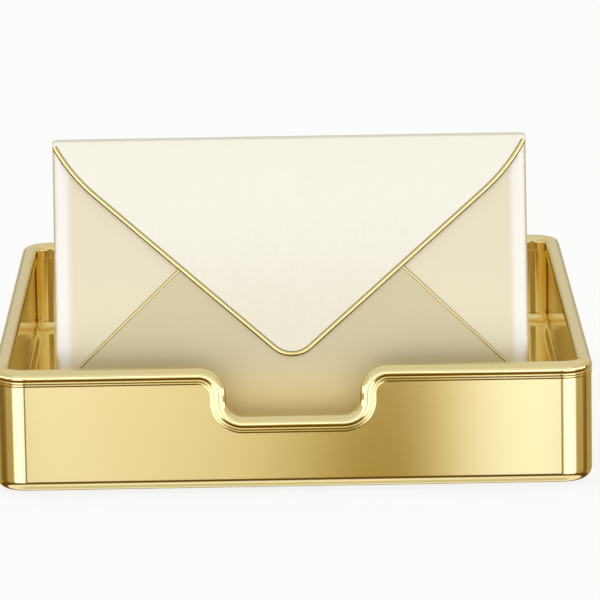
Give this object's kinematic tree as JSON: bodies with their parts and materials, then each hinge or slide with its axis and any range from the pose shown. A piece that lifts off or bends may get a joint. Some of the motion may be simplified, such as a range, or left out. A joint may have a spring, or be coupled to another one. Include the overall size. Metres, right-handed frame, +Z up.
{
  "type": "letter tray with standing envelope",
  "caption": "Gold open-top desk tray with a scooped front and a stiff metal envelope that lifts out of a slotted rail and has a hinged, gold-piped flap.",
  "frame": {"origin": "middle of the tray's plan, on the table under the feet", "axes": "+X to the right seen from the scooped front, +Y to the back, +Z up"},
  "size_m": [0.254, 0.305, 0.1448],
  "materials": {
    "polished_gold": "polished",
    "satin_gold": "satin",
    "liner_gold": "satin, smooth floor",
    "champagne": "pale champagne, vertically brushed",
    "steel": "plain",
    "rubber": "matt"
  },
  "bodies": {
    "tray": {"outer_shell": "satin_gold", "inner_pan": "liner_gold", "rim_moulding": "polished_gold", "base_plate": "steel", "pan_standoffs": "steel", "base_screws": "steel", "foot_front_left": "rubber", "foot_front_right": "rubber", "foot_rear_left": "rubber", "foot_rear_right": "rubber", "envelope_rail": "liner_gold", "rail_screws": "steel"},
    "envelope": {"envelope_frame": "polished_gold", "envelope_back": "champagne", "left_side_flap": "champagne", "right_side_flap": "champagne", "bottom_flap": "champagne", "bottom_flap_piping": "polished_gold", "flap_hinge_rod": "steel"},
    "flap": {"top_flap": "champagne", "flap_piping": "polished_gold"}
  },
  "joints": [
    {"name": "envelope_lift", "type": "slide", "parent": "tray", "child": "envelope", "axis": [0, 0.2079, 0.9781], "range_m": [0, 0.045]},
    {"name": "flap_hinge", "type": "hinge", "parent": "envelope", "child": "flap", "pos_m": [0, -0.09795, 0.1421], "axis": [-1, 0, 0], "range_deg": [0, 180]}
  ]
}
